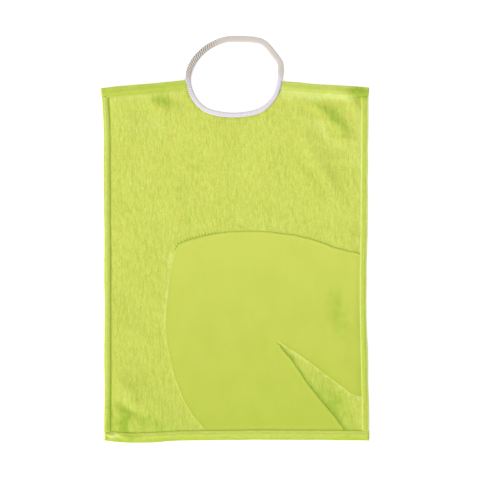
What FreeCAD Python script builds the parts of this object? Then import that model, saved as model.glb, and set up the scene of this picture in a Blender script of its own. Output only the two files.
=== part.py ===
import FreeCAD, Part
import math
import os
import Sketcher

# A pull-over towelling bib, lying flat with its front up.
# The frame's origin is under the middle of the whole object. +Y runs from the bottom hem to the
# neckband, +Z is up, out of the front face, and the underside lies on Z = 0. Millimetres.

doc = FreeCAD.newDocument("bib")

# ---------------------------------------------------------------- driving dimensions
DIMENSIONS = [
    # towelling panel and its hems
    ("half_width", 150.5),  # middle line to the outside of a side hem
    ("bottom_edge", -230.0),  # Y of the bottom hem's outer edge
    ("top_corner", 171.0),  # Y of the panel's upper corners
    ("top_slope", 0.092),  # rise of the top edge per millimetre towards the neck
    ("cloth_thick", 2.6),
    ("side_hem", 7.5),
    ("bottom_hem", 11.5),
    ("top_hem", 11.5),
    ("hem_high", 5.0),
    ("hem_round", 1.8),
    # neckband
    ("neck_middle", 183.5),  # Y of the band's middle, where its free half hinges
    ("neck_major", 52.7),  # half axes of the band's centre line
    ("neck_minor", 43.0),
    ("band_wide", 7.0),
    ("band_high", 5.0),
    ("band_tuck", 2.9),  # how far the cloth's raw edge reaches into the band
    ("side_angle", 28.5),  # how far each stretching side reaches round the oval, in degrees
    ("hem_gap", 0.05),  # between the band and the ends of the top hems
    # elastic cord inside the band
    ("core_thick", 2.0),
    ("core_inset", 1.3),  # from the band's centre line towards the opening
    ("core_room", 0.15),  # radial room in the channel
    ("core_end", 0.4),  # degrees that a stretch of the cord stops short of the band's ends
    # smooth field on the lower right of the front
    ("field_thick", 1.0),
    ("left_arc_x", 126.0),
    ("left_arc_y", -91.0),
    ("left_arc_radius", 208.0),
    ("top_arc_x", 20.8),
    ("top_arc_y", -275.0),
    ("top_arc_radius", 283.6),
    ("wedge_tip_x", 50.5),
    ("wedge_tip_y", -120.0),
    ("wedge_foot_x", 124.0),
    ("wedge_side_y", -182.0),
    # seams
    ("thread_thick", 0.8),
    ("hem_seam_inset", 2.6),  # from a hem's inner edge to its seam
    ("field_seam_inset", 1.8),
    ("neck_seam_offset", 1.6),  # from the band's outer edge to the neck seam
    ("tack_long", 5.0),
]

sheet = doc.addObject("Spreadsheet::Sheet", "Sizes")
for row, (alias, value) in enumerate(DIMENSIONS, start=1):
    sheet.set(f"A{row}", alias)
    sheet.set(f"B{row}", str(value))
    sheet.setAlias(f"B{row}", alias)
doc.recompute()

# The lines where the hems meet the single cloth.
INNER_X = "(Sizes.half_width - Sizes.side_hem)"
INNER_BOTTOM = "(Sizes.bottom_edge + Sizes.bottom_hem)"
# The top edge is drawn on past the band's outside; the neck opening cuts it back.
NECK_SIDE = "(Sizes.neck_major - Sizes.band_wide)"


def size(expression):
    """The number that an expression in the sheet's aliases gives."""
    return float(sheet.evalExpression(expression))


def top_line(x, drop="0"):
    """Y of the panel's sloping top edge at x, less a drop measured down from it."""
    return f"(Sizes.top_corner + Sizes.top_slope * (Sizes.half_width - {x}) - {drop})"


# ---------------------------------------------------------------- sketches and pads
def base_plane(body):
    return next(f for f in body.Origin.OriginFeatures if f.Role == "XY_Plane")


def pin_point(sketch, edge, corner, x, y):
    """Fixes one end of a sketch edge at the place that two expressions give."""
    for axis, expression in (("DistanceX", x), ("DistanceY", y)):
        number = sketch.addConstraint(
            Sketcher.Constraint(axis, -1, 1, edge, corner, size(expression))
        )
        sketch.setExpression(f"Constraints[{number}]", expression)


def polygon_sketch(body, corners):
    """A closed outline of straight sides through corners given as pairs of expressions."""
    sketch = body.newObject("Sketcher::SketchObject", body.Name + "_outline")
    sketch.AttachmentSupport = [(base_plane(body), "")]
    sketch.MapMode = "FlatFace"
    points = [FreeCAD.Vector(size(x), size(y), 0) for x, y in corners]
    count = len(points)
    for i in range(count):
        sketch.addGeometry(Part.LineSegment(points[i], points[(i + 1) % count]), False)
    for i, (x, y) in enumerate(corners):
        sketch.addConstraint(Sketcher.Constraint("Coincident", i, 2, (i + 1) % count, 1))
        pin_point(sketch, i, 1, x, y)
    return sketch


def pad(body, sketch, thickness, base="0"):
    """Pads a sketch by an expression, starting at the height that another one gives."""
    feature = body.newObject("PartDesign::Pad", body.Name + "_pad")
    feature.Profile = sketch
    feature.setExpression("Length", thickness)
    sketch.Visibility = False
    body.setExpression("Placement.Base.z", base)
    return feature


def round_top(body, feature, radius):
    """Rounds the edges of a pad's top face."""
    doc.recompute()
    top = feature.Shape.BoundBox.ZMax
    names = []
    for number, edge in enumerate(feature.Shape.Edges, start=1):
        if all(abs(v.Z - top) < 1e-6 for v in edge.Vertexes):
            names.append(f"Edge{number}")
    rounding = body.newObject("PartDesign::Fillet", body.Name + "_rounding")
    rounding.Base = (feature, names)
    rounding.setExpression("Radius", radius)
    return rounding


def polygon_body(name, corners, thickness, base="0", rounding=None):
    body = doc.addObject("PartDesign::Body", name)
    feature = pad(body, polygon_sketch(body, corners), thickness, base)
    if rounding:
        round_top(body, feature, rounding)
    return body


# ---------------------------------------------------------------- ovals around the neck
def neck_oval(name, offset, start="0", end="360"):
    """An arc of the oval that runs an offset outside the band's centre line."""
    oval = doc.addObject("Part::Ellipse", name)
    oval.setExpression("MajorRadius", f"Sizes.neck_major + {offset}")
    oval.setExpression("MinorRadius", f"Sizes.neck_minor + {offset}")
    oval.setExpression("Angle1", start)
    oval.setExpression("Angle2", end)
    oval.setExpression("Placement.Base.y", "Sizes.neck_middle")
    return oval


def neck_cutter(name, offset):
    """An upright oval column, to cut the neck opening."""
    column = doc.addObject("Part::Extrusion", name)
    column.Base = neck_oval(name + "_oval", offset)
    column.Dir = FreeCAD.Vector(0, 0, 1)
    column.Solid = True
    column.setExpression("LengthFwd", "2 * Sizes.band_high")
    column.setExpression("LengthRev", "Sizes.band_high")
    return column


def neck_sweep(name, offset, height, section, start, end):
    """Sweeps an oval section, given as (width, height) expressions, along an oval's arc."""
    spine = neck_oval(name + "_spine", offset, start, end)
    spine.setExpression("Placement.Base.z", height)
    wide, high = section
    profile = doc.addObject("Part::Ellipse", name + "_section")
    across = size(wide) >= size(high)
    profile.setExpression("MajorRadius", f"({wide if across else high}) / 2")
    profile.setExpression("MinorRadius", f"({high if across else wide}) / 2")
    doc.recompute()
    edge = spine.Shape.Edges[0]
    along = edge.tangentAt(edge.FirstParameter)
    up = FreeCAD.Vector(0, 0, 1)
    outward = along.cross(up)
    first, second = (outward, up) if across else (up, outward)
    facing = FreeCAD.Rotation(first, second, FreeCAD.Vector(), "XYZ")
    profile.Placement = FreeCAD.Placement(edge.valueAt(edge.FirstParameter), facing)
    sweep = doc.addObject("Part::Sweep", name)
    sweep.Sections = [profile]
    sweep.Spine = (spine, ["Edge1"])
    sweep.Solid = True
    return sweep


def boolean(kind, name, base, tool):
    feature = doc.addObject(kind, name)
    feature.Base = base
    feature.Tool = tool
    return feature


# ---------------------------------------------------------------- thread
def straight_thread(name, start, end, height):
    """A run of thread between two points given as (x, y) expressions, lying on a height."""
    begin = FreeCAD.Vector(size(start[0]), size(start[1]), size(height))
    finish = FreeCAD.Vector(size(end[0]), size(end[1]), size(height))
    thread = doc.addObject("Part::Cylinder", name)
    thread.setExpression("Radius", "Sizes.thread_thick / 2")
    dx, dy = f"({end[0]} - {start[0]})", f"({end[1]} - {start[1]})"
    thread.setExpression("Height", f"sqrt({dx} * {dx} + {dy} * {dy})")
    turn = FreeCAD.Rotation(FreeCAD.Vector(0, 0, 1), finish - begin)
    lift = FreeCAD.Vector(0, 0, size("Sizes.thread_thick") / 2)
    thread.Placement = FreeCAD.Placement(begin + lift, turn)
    return thread


def arc_thread(name, middle, radius, start, end, height):
    """Thread along a circular arc from one angle to another, in degrees."""
    thread = doc.addObject("Part::Torus", name)
    thread.setExpression("Radius1", radius)
    thread.setExpression("Radius2", "Sizes.thread_thick / 2")
    thread.Angle3 = end - start
    centre = FreeCAD.Vector(size(middle[0]), size(middle[1]), 0)
    centre.z = size(height) + size("Sizes.thread_thick") / 2
    turn = FreeCAD.Rotation(FreeCAD.Vector(0, 0, 1), start)
    thread.Placement = FreeCAD.Placement(centre, turn)
    return thread


def group(name, members):
    together = doc.addObject("Part::Compound", name)
    together.Links = members
    return together


nodes = {}


def keep(feature, label=None):
    """Labels a finished sub-part and lists it for writing."""
    name = label or feature.Name
    feature.Label = name
    nodes[name] = feature
    return feature


def mirrored(x, side):
    """An X expression on the right (+1) or the left (-1) of the middle line."""
    return f"({x})" if side > 0 else f"(-1 * {x})"


SIDES = (("left", -1), ("right", 1))

# ---------------------------------------------------------------- towelling panel
blank = polygon_body(
    "panel_blank",
    [
        (mirrored(INNER_X, -1), INNER_BOTTOM),
        (INNER_X, INNER_BOTTOM),
        (INNER_X, top_line(INNER_X, "Sizes.top_hem")),
        (NECK_SIDE, top_line(NECK_SIDE, "Sizes.top_hem")),
        (mirrored(NECK_SIDE, -1), top_line(NECK_SIDE, "Sizes.top_hem")),
        (mirrored(INNER_X, -1), top_line(INNER_X, "Sizes.top_hem")),
    ],
    "Sizes.cloth_thick",
)
cloth_cutter = neck_cutter("cloth_cutter", "Sizes.band_wide / 2 - Sizes.band_tuck")
panel = keep(boolean("Part::Cut", "towelling_panel", blank, cloth_cutter))

# ---------------------------------------------------------------- hems
HEM_TOP = "Sizes.hem_high"
hem_cutter = neck_cutter("hem_cutter", "Sizes.band_wide / 2 + Sizes.hem_gap")
for side_name, side in SIDES:
    outer = mirrored("Sizes.half_width", side)
    inner = mirrored(INNER_X, side)
    neck = mirrored(NECK_SIDE, side)
    side_hem = polygon_body(
        f"side_hem_{side_name}",
        [
            (outer, INNER_BOTTOM),
            (inner, INNER_BOTTOM),
            (inner, top_line(INNER_X, "Sizes.top_hem")),
            (outer, top_line("Sizes.half_width", "Sizes.top_hem")),
        ],
        HEM_TOP,
        rounding="Sizes.hem_round",
    )
    keep(side_hem)
    top_blank = polygon_body(
        f"top_hem_{side_name}_blank",
        [
            (outer, top_line("Sizes.half_width", "Sizes.top_hem")),
            (neck, top_line(NECK_SIDE, "Sizes.top_hem")),
            (neck, top_line(NECK_SIDE)),
            (outer, top_line("Sizes.half_width")),
        ],
        HEM_TOP,
        rounding="Sizes.hem_round",
    )
    keep(boolean("Part::Cut", f"top_hem_{side_name}", top_blank, hem_cutter))

bottom_hem = polygon_body(
    "bottom_hem",
    [
        (mirrored("Sizes.half_width", -1), "Sizes.bottom_edge"),
        ("Sizes.half_width", "Sizes.bottom_edge"),
        ("Sizes.half_width", INNER_BOTTOM),
        (mirrored("Sizes.half_width", -1), INNER_BOTTOM),
    ],
    HEM_TOP,
    rounding="Sizes.hem_round",
)
keep(bottom_hem)


# ---------------------------------------------------------------- smooth field with its wedge
def arc_point(centre_x, centre_y, radius, x=None, y=None):
    """Where an arc's upper or left side meets a line of constant x or y."""
    if x is not None:
        return FreeCAD.Vector(x, centre_y + math.sqrt(radius**2 - (x - centre_x) ** 2), 0)
    return FreeCAD.Vector(centre_x - math.sqrt(radius**2 - (y - centre_y) ** 2), y, 0)


def arcs_meeting(first, second):
    """The leftmost point that two circles, each (centre, radius), share."""
    (c1, r1), (c2, r2) = first, second
    gap = c2 - c1
    along = (r1**2 - r2**2 + gap.Length**2) / (2 * gap.Length)
    beside = math.sqrt(r1**2 - along**2)
    unit = FreeCAD.Vector(gap).normalize()
    normal = FreeCAD.Vector(-unit.y, unit.x, 0)
    found = [c1 + unit * along + normal * beside * s for s in (1, -1)]
    return min(found, key=lambda p: p.x)


def angle_at(centre, point):
    """The angle of a point seen from a centre, in degrees from 0 to 360."""
    return math.degrees(math.atan2(point.y - centre.y, point.x - centre.x)) % 360


def field_circles(inset=0.0):
    """The circles of the field's left and top edges, drawn in by an inset."""
    left = FreeCAD.Vector(size("Sizes.left_arc_x"), size("Sizes.left_arc_y"), 0)
    top = FreeCAD.Vector(size("Sizes.top_arc_x"), size("Sizes.top_arc_y"), 0)
    left_radius = size("Sizes.left_arc_radius") - inset
    top_radius = size("Sizes.top_arc_radius") - inset
    return (left, left_radius), (top, top_radius)


field = doc.addObject("PartDesign::Body", "smooth_field")
outline = field.newObject("Sketcher::SketchObject", "smooth_field_outline")
outline.AttachmentSupport = [(base_plane(field), "")]
outline.MapMode = "FlatFace"
left_circle, top_circle = field_circles()
floor_y, wall_x = size(INNER_BOTTOM), size(INNER_X)
foot = arc_point(left_circle[0].x, left_circle[0].y, left_circle[1], y=floor_y)
shoulder = arc_point(top_circle[0].x, top_circle[0].y, top_circle[1], x=wall_x)
corner = arcs_meeting(left_circle, top_circle)
wedge_foot = FreeCAD.Vector(size("Sizes.wedge_foot_x"), floor_y, 0)
wedge_tip = FreeCAD.Vector(size("Sizes.wedge_tip_x"), size("Sizes.wedge_tip_y"), 0)
wedge_side = FreeCAD.Vector(wall_x, size("Sizes.wedge_side_y"), 0)
straight = [(foot, wedge_foot), (wedge_foot, wedge_tip), (wedge_tip, wedge_side), (wedge_side, shoulder)]
for begin, finish in straight:
    outline.addGeometry(Part.LineSegment(begin, finish), False)
for (centre, radius), begin, finish in ((top_circle, shoulder, corner), (left_circle, corner, foot)):
    circle = Part.Circle(centre, FreeCAD.Vector(0, 0, 1), radius)
    angles = [math.radians(angle_at(centre, p)) for p in (begin, finish)]
    outline.addGeometry(Part.ArcOfCircle(circle, *angles), False)
SIDE_COUNT = 6
TOP_ARC, LEFT_ARC = 4, 5
for i in range(SIDE_COUNT):
    outline.addConstraint(Sketcher.Constraint("Coincident", i, 2, (i + 1) % SIDE_COUNT, 1))
pin_point(outline, 1, 1, "Sizes.wedge_foot_x", INNER_BOTTOM)
pin_point(outline, 2, 1, "Sizes.wedge_tip_x", "Sizes.wedge_tip_y")
pin_point(outline, 3, 1, INNER_X, "Sizes.wedge_side_y")
outline.addConstraint(Sketcher.Constraint("Horizontal", 0))
outline.addConstraint(Sketcher.Constraint("Vertical", 3))
for arc, edge_name in ((TOP_ARC, "top_arc"), (LEFT_ARC, "left_arc")):
    pin_point(outline, arc, 3, f"Sizes.{edge_name}_x", f"Sizes.{edge_name}_y")
    number = outline.addConstraint(
        Sketcher.Constraint("Radius", arc, size(f"Sizes.{edge_name}_radius"))
    )
    outline.setExpression(f"Constraints[{number}]", f"Sizes.{edge_name}_radius")
pad(field, outline, "Sizes.field_thick", "Sizes.cloth_thick")
keep(field)

# ---------------------------------------------------------------- neckband
# The front half is sewn over the cloth's raw edge. The rear half is free: its two short sides
# bend up at the neck's middle line and stretch, and the back arc between them moves away.
BAND = ("Sizes.band_wide", "Sizes.band_high")
CORE = ("Sizes.core_thick", "Sizes.core_thick")
CHANNEL = ("Sizes.core_thick + 2 * Sizes.core_room", "Sizes.core_thick + 2 * Sizes.core_room")
CORE_PATH = "-1 * Sizes.core_inset"
BAND_MIDDLE = "Sizes.band_high / 2"
REAR_STRETCHES = (
    ("side_right", "0", "Sizes.side_angle"),
    ("back", "Sizes.side_angle", "180 - Sizes.side_angle"),
    ("side_left", "180 - Sizes.side_angle", "180"),
)


def band_stretch(place, start, end):
    """A stretch of the knitted band, hollow for its elastic cord, with the cord itself."""
    skin = neck_sweep(f"{place}_skin", "0", BAND_MIDDLE, BAND, start, end)
    channel = neck_sweep(f"{place}_channel", CORE_PATH, BAND_MIDDLE, CHANNEL, start, end)
    core_start, core_end = f"{start} + Sizes.core_end", f"{end} - Sizes.core_end"
    keep(neck_sweep(f"elastic_{place}", CORE_PATH, BAND_MIDDLE, CORE, core_start, core_end))
    return skin, channel


front_skin, front_channel = band_stretch("front", "180", "360")
front_hollow = boolean("Part::Cut", "front_hollow", front_skin, front_channel)
keep(boolean("Part::Cut", "neckband_front", front_hollow, panel))
for place, start, end in REAR_STRETCHES:
    skin, channel = band_stretch(place, start, end)
    keep(boolean("Part::Cut", f"neckband_{place}", skin, channel))

# ---------------------------------------------------------------- seams
THREAD_HALF = "Sizes.thread_thick / 2"
SEAM_X = f"({INNER_X} + Sizes.hem_seam_inset)"
SEAM_BOTTOM = f"({INNER_BOTTOM} - Sizes.hem_seam_inset)"
SEAM_DROP = "(Sizes.top_hem - Sizes.hem_seam_inset)"
SEAM_NECK = "(Sizes.neck_major + Sizes.band_wide)"
for side_name, side in SIDES:
    seam_x = mirrored(SEAM_X, side)
    side_start = (seam_x, f"({INNER_BOTTOM} + Sizes.hem_round)")
    side_end = (seam_x, f"({top_line(SEAM_X, 'Sizes.top_hem')} - Sizes.hem_round)")
    keep(straight_thread(f"side_seam_{side_name}", side_start, side_end, HEM_TOP))
    corner_end = (seam_x, top_line(SEAM_X, SEAM_DROP))
    neck_end = (mirrored(SEAM_NECK, side), top_line(SEAM_NECK, SEAM_DROP))
    keep(straight_thread(f"top_seam_{side_name}", corner_end, neck_end, HEM_TOP))

bottom_start = (mirrored(SEAM_X, -1), SEAM_BOTTOM)
keep(straight_thread("bottom_seam", bottom_start, (SEAM_X, SEAM_BOTTOM), HEM_TOP))

# The neck seam holds the band's front half to the cloth, and ends short of the top hems.
NECK_SEAM_ANGLES = ("200", "340")
neck_seam = neck_sweep(
    "neck_seam",
    "(Sizes.band_wide / 2 + Sizes.neck_seam_offset)",
    f"Sizes.cloth_thick + {THREAD_HALF}",
    ("Sizes.thread_thick", "Sizes.thread_thick"),
    *NECK_SEAM_ANGLES,
)
keep(neck_seam)

# The field is sewn down along its two arcs and along both sides of the wedge.
FIELD_TOP = "(Sizes.cloth_thick + Sizes.field_thick)"
seam_inset = size("Sizes.field_seam_inset")
seam_left, seam_top = field_circles(seam_inset)
seam_foot = arc_point(seam_left[0].x, seam_left[0].y, seam_left[1], y=floor_y + seam_inset)
seam_shoulder = arc_point(seam_top[0].x, seam_top[0].y, seam_top[1], x=wall_x - seam_inset)
seam_corner = arcs_meeting(seam_left, seam_top)
arc_threads = []
for edge_name, circle, begin, finish in (
    ("top_arc", seam_top, seam_shoulder, seam_corner),
    ("left_arc", seam_left, seam_corner, seam_foot),
):
    thread = arc_thread(
        f"field_{edge_name}_thread",
        (f"Sizes.{edge_name}_x", f"Sizes.{edge_name}_y"),
        f"Sizes.{edge_name}_radius - Sizes.field_seam_inset",
        angle_at(circle[0], begin),
        angle_at(circle[0], finish),
        FIELD_TOP,
    )
    arc_threads.append(thread)
field_seam = doc.addObject("Part::MultiFuse", "field_seam")
field_seam.Shapes = arc_threads
keep(field_seam)

# Each run beside the wedge is shifted square to its side, away from the wedge.
WEDGE_TIP = ("Sizes.wedge_tip_x", "Sizes.wedge_tip_y")
wedge_runs = []
for run_name, end, outward in (
    ("lower", ("Sizes.wedge_foot_x", INNER_BOTTOM), 1),
    ("upper", (INNER_X, "Sizes.wedge_side_y"), -1),
):
    dx, dy = f"({end[0]} - Sizes.wedge_tip_x)", f"({end[1]} - Sizes.wedge_tip_y)"
    share = f"({outward} * Sizes.field_seam_inset / sqrt({dx} * {dx} + {dy} * {dy}))"
    shift = (f"{dy} * {share}", f"-1 * {dx} * {share}")
    stop = "0.97"
    begin = (f"({WEDGE_TIP[0]} + {shift[0]})", f"({WEDGE_TIP[1]} + {shift[1]})")
    finish = (f"({begin[0]} + {stop} * {dx})", f"({begin[1]} + {stop} * {dy})")
    wedge_runs.append(straight_thread(f"wedge_{run_name}_thread", begin, finish, FIELD_TOP))
keep(group("wedge_seam", wedge_runs))

# Short tacks close the ends of the bottom hem.
tacks = []
for side_name, side in SIDES:
    tack_x = mirrored("(Sizes.half_width - Sizes.hem_seam_inset)", side)
    tack_low = f"({SEAM_BOTTOM} - Sizes.tack_long - Sizes.thread_thick)"
    tack_high = f"({SEAM_BOTTOM} - Sizes.thread_thick)"
    tacks.append(straight_thread(f"tack_{side_name}", (tack_x, tack_low), (tack_x, tack_high), HEM_TOP))
keep(group("corner_tacks", tacks))

# ---------------------------------------------------------------- check and write
doc.recompute()
for item in doc.Objects:
    if {"Invalid", "Error"} & set(item.State):
        raise RuntimeError(f"{item.Name} failed: {item.State}")
os.makedirs("parts", exist_ok=True)
for name, feature in nodes.items():
    shape = feature.Shape
    if shape.isNull() or not shape.isValid() or not shape.Solids:
        raise RuntimeError(f"{name} has no valid solid")
    shape.exportStep(f"parts/{name}.step")
    box = shape.BoundBox
    print(
        f"{name:22s} solids {len(shape.Solids)}  volume {shape.Volume:9.1f}"
        f"  x {box.XMin:7.1f} {box.XMax:7.1f}  y {box.YMin:7.1f} {box.YMax:7.1f}"
        f"  z {box.ZMin:5.2f} {box.ZMax:5.2f}"
    )
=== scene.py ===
import math

import bmesh
import bpy
import numpy as np
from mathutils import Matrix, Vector, geometry


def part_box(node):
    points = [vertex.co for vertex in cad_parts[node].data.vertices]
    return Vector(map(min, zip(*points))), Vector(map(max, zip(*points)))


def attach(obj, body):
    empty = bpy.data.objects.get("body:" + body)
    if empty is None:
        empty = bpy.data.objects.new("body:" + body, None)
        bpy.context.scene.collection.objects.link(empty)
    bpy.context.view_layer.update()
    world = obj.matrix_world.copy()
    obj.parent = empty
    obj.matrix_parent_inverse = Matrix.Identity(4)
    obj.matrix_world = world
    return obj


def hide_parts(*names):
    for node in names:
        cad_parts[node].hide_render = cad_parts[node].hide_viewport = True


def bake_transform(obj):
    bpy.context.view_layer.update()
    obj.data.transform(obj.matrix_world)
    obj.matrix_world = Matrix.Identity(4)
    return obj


# A towelling bib lying flat, front up. Metres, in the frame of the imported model: +X right, +Y from
# the bottom hem to the neckband, +Z up. Cloth pieces are made in the flat, and lay() then gives
# each point its place on the table, with the small shifts and folds of cloth that was laid down.

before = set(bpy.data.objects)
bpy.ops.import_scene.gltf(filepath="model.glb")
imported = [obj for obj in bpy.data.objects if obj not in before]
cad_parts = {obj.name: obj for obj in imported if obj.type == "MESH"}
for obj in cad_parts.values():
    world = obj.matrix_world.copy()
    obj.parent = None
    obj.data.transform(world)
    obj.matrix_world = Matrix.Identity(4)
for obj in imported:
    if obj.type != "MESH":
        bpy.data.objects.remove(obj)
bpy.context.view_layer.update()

MM = 0.001


# ------------------------------ sizes read from the frame
def low(node):
    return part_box(node)[0]


def high(node):
    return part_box(node)[1]


HALF_WIDTH = high("bottom_hem").x
BOTTOM_EDGE = low("bottom_hem").y
INNER_X = high("towelling_panel").x
INNER_BOTTOM = low("towelling_panel").y
TOP_CORNER_INNER = low("top_hem_left").y
CLOTH_TOP = high("towelling_panel").z
FIELD_TOP = high("smooth_field").z
HEM_TOP = high("bottom_hem").z
BAND_TOP = high("neckband_front").z
NECK_Y = high("neckband_front").y
NECK_BOTTOM = low("neckband_front").y
BAND_SPLIT = high("neckband_side_left").y
BAND_BACK = high("neckband_back").y
SIDE_HEM = HALF_WIDTH - INNER_X
BOTTOM_HEM = INNER_BOTTOM - BOTTOM_EDGE

TOP_SLOPE = 0.092  # rise of the top edge towards the neck
TOP_HEM = 11.5 * MM
BAND_WIDE = 7.0 * MM
NECK_MAJOR = high("neckband_front").x - BAND_WIDE / 2
NECK_MINOR = NECK_Y - NECK_BOTTOM - BAND_WIDE / 2


# ------------------------------ lines and noise
def distance_along(line):
    """How far along a line each of its points is."""
    return np.cumsum(np.linalg.norm(np.diff(line, axis=0, prepend=line[:1]), axis=1))


def resample(line, step, closed=False):
    """Points at even spacing, about a step apart, along a polyline."""
    if closed:
        line = np.vstack([line, line[:1]])
    along = distance_along(line)
    count = max(2, int(round(along[-1] / step)) + 1)
    at = np.linspace(0, along[-1], count)
    even = np.stack([np.interp(at, along, line[:, k]) for k in range(line.shape[1])], axis=1)
    return even[:-1] if closed else even


def smooth_path(points, step, closed=False):
    """An evenly spaced curve through given points (a Catmull-Rom spline)."""
    p = np.array(points, float)
    if closed:
        p = np.vstack([p[-1], p, p[0], p[1]])
    else:
        p = np.vstack([2 * p[0] - p[1], p, 2 * p[-1] - p[-2]])
    t = np.linspace(0, 1, 24, endpoint=False)[:, None]
    spans = []
    for a, b, c, d in zip(p[:-3], p[1:-2], p[2:-1], p[3:]):
        cubic = (3 * b - a - 3 * c + d) * t**3
        spans.append((2 * b + (c - a) * t + (2 * a - 5 * b + 4 * c - d) * t**2 + cubic) / 2)
    if not closed:
        spans.append(p[-2:-1])
    return resample(np.vstack(spans), step, closed)


def smooth_value(points):
    """A smooth function of one number through (number, value) pairs."""
    at, values = (np.array(column, float) for column in zip(*points))
    slopes = np.gradient(values, at)

    def value(x):
        x = np.clip(x, at[0], at[-1])
        i = np.clip(np.searchsorted(at, x) - 1, 0, len(at) - 2)
        gap = at[i + 1] - at[i]
        t = (x - at[i]) / gap
        a, b = values[i], values[i + 1]
        m, n = slopes[i] * gap, slopes[i + 1] * gap
        return a + m * t + (3 * (b - a) - 2 * m - n) * t**2 + (2 * (a - b) + m + n) * t**3

    return value


def step_up(x, start, end):
    """0 before start, 1 after end, smooth between."""
    t = np.clip((x - start) / (end - start), 0, 1)
    return t * t * (3 - 2 * t)


def forwards(line):
    """Unit vectors along a line."""
    ways = np.gradient(line, axis=0)
    return ways / np.linalg.norm(ways, axis=1)[:, None]


def sideways(line):
    """Unit vectors square to a line, to its left."""
    right, up = forwards(line).T
    return np.stack([-up, right], axis=1)


def full_turn(count):
    """Even steps once round a section."""
    return np.linspace(0, 2 * math.pi, count, endpoint=False)


def noise(x, y, wide, long, seed):
    """Smooth random values from -1 to 1, in cells of wide by long millimetres."""
    table = np.random.default_rng(seed).uniform(-1, 1, (64, 64))
    u, v = x / (wide * MM), y / (long * MM)
    i, j = np.floor(u).astype(int), np.floor(v).astype(int)
    s, t = u - i, v - j
    s, t = s * s * (3 - 2 * s), t * t * (3 - 2 * t)
    corner = [[table[(i + a) % 64, (j + b) % 64] for b in (0, 1)] for a in (0, 1)]
    near = corner[0][0] * (1 - s) + corner[1][0] * s
    far = corner[0][1] * (1 - s) + corner[1][1] * s
    return near * (1 - t) + far * t


def beside(line, outward, away, height):
    """Rows of points at the places of a line: each away from it along outward, at a height."""
    x, y = (line[:, k, None] + outward[..., k, None] * away for k in (0, 1))
    return np.stack([x, y, np.broadcast_to(height, x.shape)], axis=2)


def waver(along, wide, seed):
    """The same along one line, in stretches of wide millimetres."""
    return noise(along, 0 * along, wide, 1, seed)


def bell(away, wide):
    """1 where away is 0, and next to nothing from two widths on, which are in millimetres."""
    return np.exp(-((away / (wide * MM)) ** 2))


def distance_to(line, x, y, closed=False):
    """Distance from each point to a polyline, and how far along it the nearest place is."""
    ends = np.vstack([line, line[:1]]) if closed else line
    start, run = ends[:-1], np.diff(ends, axis=0)
    length = np.maximum(np.linalg.norm(run, axis=1), 1e-12)
    before = np.concatenate([[0], np.cumsum(length)])[:-1]
    points = np.stack([np.ravel(x), np.ravel(y)], axis=1)
    nearest, along = np.empty(len(points)), np.empty(len(points))
    for first in range(0, len(points), 4000):
        part = points[first : first + 4000]
        away = part[:, None] - start
        share = np.clip((away * run).sum(2) / length**2, 0, 1)
        gap = np.linalg.norm(away - share[..., None] * run, axis=2)
        best = gap.argmin(axis=1)
        rows = np.arange(len(part))
        nearest[first : first + 4000] = gap[rows, best]
        along[first : first + 4000] = before[best] + share[rows, best] * length[best]
    return nearest.reshape(np.shape(x)), along.reshape(np.shape(x))


def inside(outline, x, y):
    """Which points are inside a closed outline."""
    found = np.zeros(np.shape(x), bool)
    for (x1, y1), (x2, y2) in zip(outline, np.roll(outline, -1, axis=0)):
        if y1 != y2:
            crosses = (y1 > y) != (y2 > y)
            found ^= crosses & (x < (x2 - x1) * (y - y1) / (y2 - y1) + x1)
    return found


# ------------------------------ how the cloth lies
def edge_shift(points):
    """Shift of an edge from the straight CAD outline, from (place along the edge, shift) in mm."""
    return smooth_value(np.array(points) * MM)


LEFT_SHIFT = edge_shift([(-230, 2.6), (-30, 2.6), (60, 1.9), (131, 1.4), (175, -1.0)])
RIGHT_SHIFT = edge_shift([(-230, 1.4), (-143, -0.2), (-91, -1.5), (22, -0.7), (175, 0.4)])
BOTTOM_SHIFT = edge_shift([(-150, 2.2), (-132, 0.2), (-60, 2.0), (0, 2.7), (150, 2.5)])
TOP_SHIFT = edge_shift([(-150, 0), (-60, 0.2), (0, 0), (60, -1.2), (150, 0.4)])
# Soft folds: (points, half width, height), with valleys below zero.
FOLDS = (
    (((84, 154), (102, 139), (117, 122), (134, 100)), 8.5, 1.5),
    (((66, 122), (92, 94), (110, 62), (126, 28)), 11.0, 1.2),
    (((112, 172), (126, 164), (137, 150), (144, 134)), 7.5, 1.5),
    (((66, 92), (88, 52), (104, 22)), 11.0, 0.7),
    (((-98, 162), (-90, 151), (-79, 142)), 8.0, 1.6),
    (((-150, -180), (-122, -192), (-88, -206)), 26.0, 2.2),
    (((-146, -182), (-124, -191), (-96, -204)), 8.5, -1.5),
    (((-146, -60), (-118, -96), (-92, -112)), 16.0, 0.6),
    (((140, -78), (124, -118), (128, -160)), 11.0, 0.9),
    (((112, -8), (136, -2), (149, 6)), 9.0, 0.9),
    (((-122, 150), (-124, 120), (-120, 95)), 13.0, 0.5),
    (((-118, 78), (-121, 55), (-117, 36)), 13.0, 0.5),
    (((-117, 20), (-119, -5), (-114, -28)), 13.0, 0.5),
)
# Gain of the shade painted on slopes that face away from the key light.
PAINTED_SLOPE_SHADE_GAIN = 1.3
FOLD_LINES = [
    (smooth_path(np.array(points) * MM, 4 * MM), wide, tall * MM) for points, wide, tall in FOLDS
]


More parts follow.
